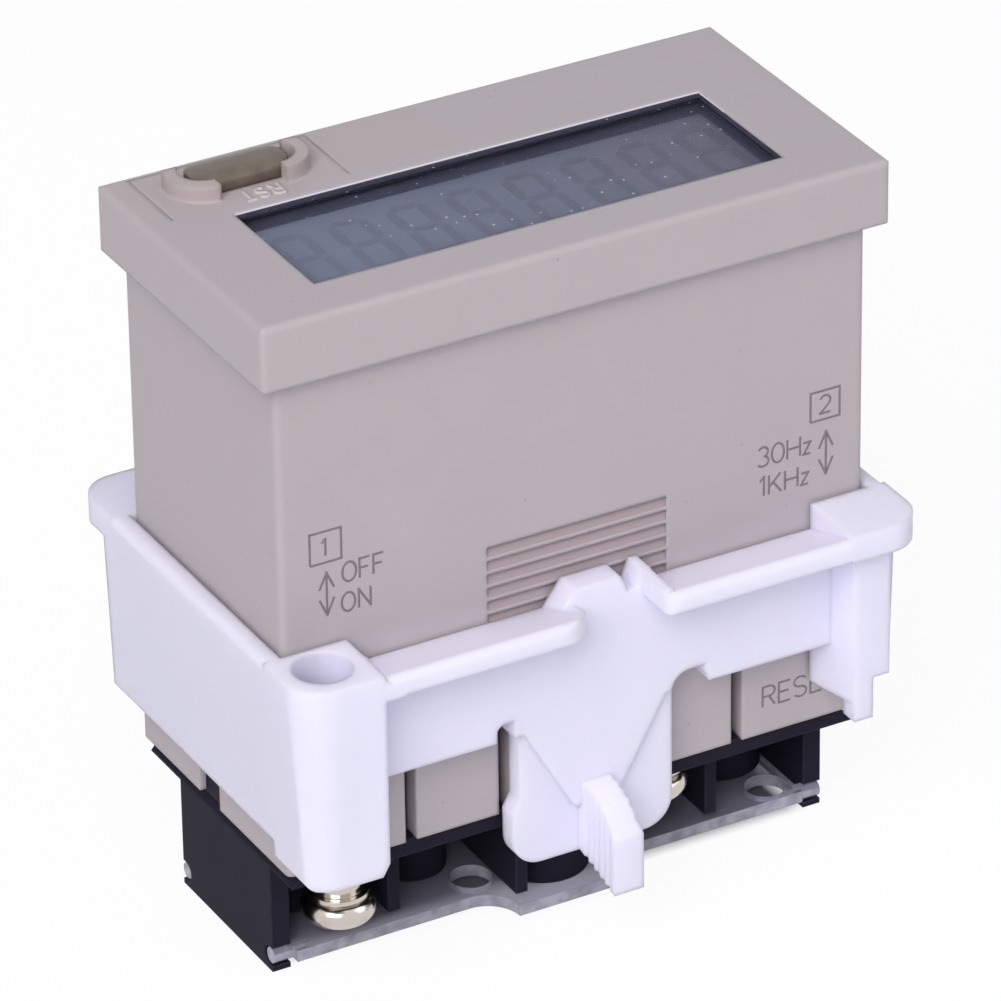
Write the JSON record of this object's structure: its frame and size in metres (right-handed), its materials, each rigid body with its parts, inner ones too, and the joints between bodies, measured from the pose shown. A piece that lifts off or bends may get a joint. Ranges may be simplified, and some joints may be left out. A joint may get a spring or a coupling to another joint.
{
  "type": "panel counter",
  "caption": "Small self-powered digital panel counter with a display window, recessed reset key, rear screw terminals under a clear cover, and a ratchet mounting adapter that slides on from behind.",
  "frame": {"origin": "centre of the footprint, on the plane of the rear feet", "axes": "+Z out of the display, X along the long side of the front with the reset key towards -X, Y across the short side with the reset key towards +Y"},
  "size_m": [0.0486, 0.0356, 0.0545],
  "materials": {
    "case_grey": "fine satin moulding",
    "window_clear": "clear moulded plastic",
    "display": "display glass",
    "foil": "bright",
    "frame_dark": "matt",
    "elastomer": "soft",
    "board": "solder mask",
    "base_black": "fine satin moulding",
    "key_brown": "matt",
    "cell_wrap": "shrink sleeve",
    "nickel": "nickel plated",
    "cover_clear": "smoky clear moulding",
    "adapter_white": "satin moulding"
  },
  "bodies": {
    "housing": {"case": "case_grey", "front_window": "window_clear", "lcd_glass": "display", "reflector": "foil", "lcd_frame": "frame_dark", "zebra_strips": "elastomer", "display_board": "board", "controller_chip": "base_black", "crystal": "foil", "reset_switch": "base_black", "lithium_cell": "cell_wrap", "cell_tabs": "nickel", "board_link": "nickel", "rear_board": "board", "key_lock_switch": "frame_dark", "speed_switch": "frame_dark", "terminal_base": "base_black", "terminal_plates": "nickel", "terminal_screws": "nickel", "clamp_washers": "nickel", "terminal_pins": "nickel", "terminal_cover": "cover_clear"},
    "key": {"reset_key": "key_brown", "reset_plunger": "adapter_white"},
    "lock_selector": {"key_lock_knob": "adapter_white"},
    "speed_selector": {"speed_knob": "adapter_white"},
    "adapter": {"mounting_adapter": "adapter_white"}
  },
  "joints": [
    {"name": "reset_press", "type": "slide", "parent": "housing", "child": "key", "axis": [0, 0, -1], "range_m": [0, 0.0006], "stiffness_N_per_m": 1500, "springref_m": -0.0003},
    {"name": "key_lock_slide", "type": "slide", "parent": "housing", "child": "lock_selector", "axis": [0, 1, 0], "range_m": [0, 0.0012]},
    {"name": "speed_slide", "type": "slide", "parent": "housing", "child": "speed_selector", "axis": [0, 1, 0], "range_m": [0, 0.0012]},
    {"name": "adapter_slide", "type": "slide", "parent": "housing", "child": "adapter", "axis": [0, 0, 1], "range_m": [-0.0045, 0.0195]}
  ]
}
